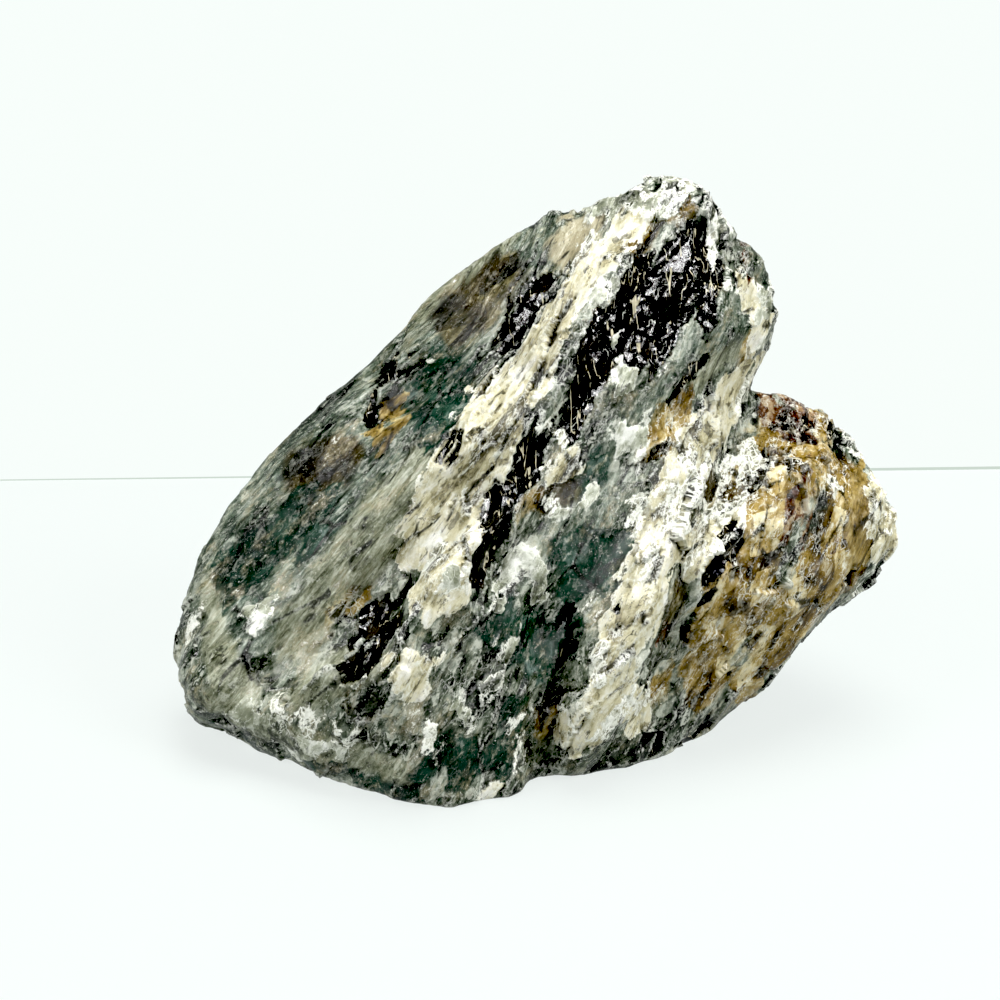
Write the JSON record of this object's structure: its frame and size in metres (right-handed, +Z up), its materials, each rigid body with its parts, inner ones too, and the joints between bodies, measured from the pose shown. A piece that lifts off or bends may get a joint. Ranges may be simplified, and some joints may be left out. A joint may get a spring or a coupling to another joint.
{
  "type": "smoky quartz chunk",
  "caption": "Rough natural chunk of smoky quartz, a leaning ridged block with a side lobe, that stands on a flat break as a display stone.",
  "frame": {"origin": "on the flat break underneath, below the middle of the chunk", "axes": "+Z up, +X to the right along the longest side, +Y away from the front"},
  "size_m": [0.1418, 0.0856, 0.1052],
  "materials": {
    "smoky_quartz": "glassy broken quartz, smoky brown-black to grey-green with creamy, honey and milky layers"
  },
  "bodies": {
    "root": {"smoky_quartz_chunk": "smoky_quartz"}
  },
  "joints": []
}
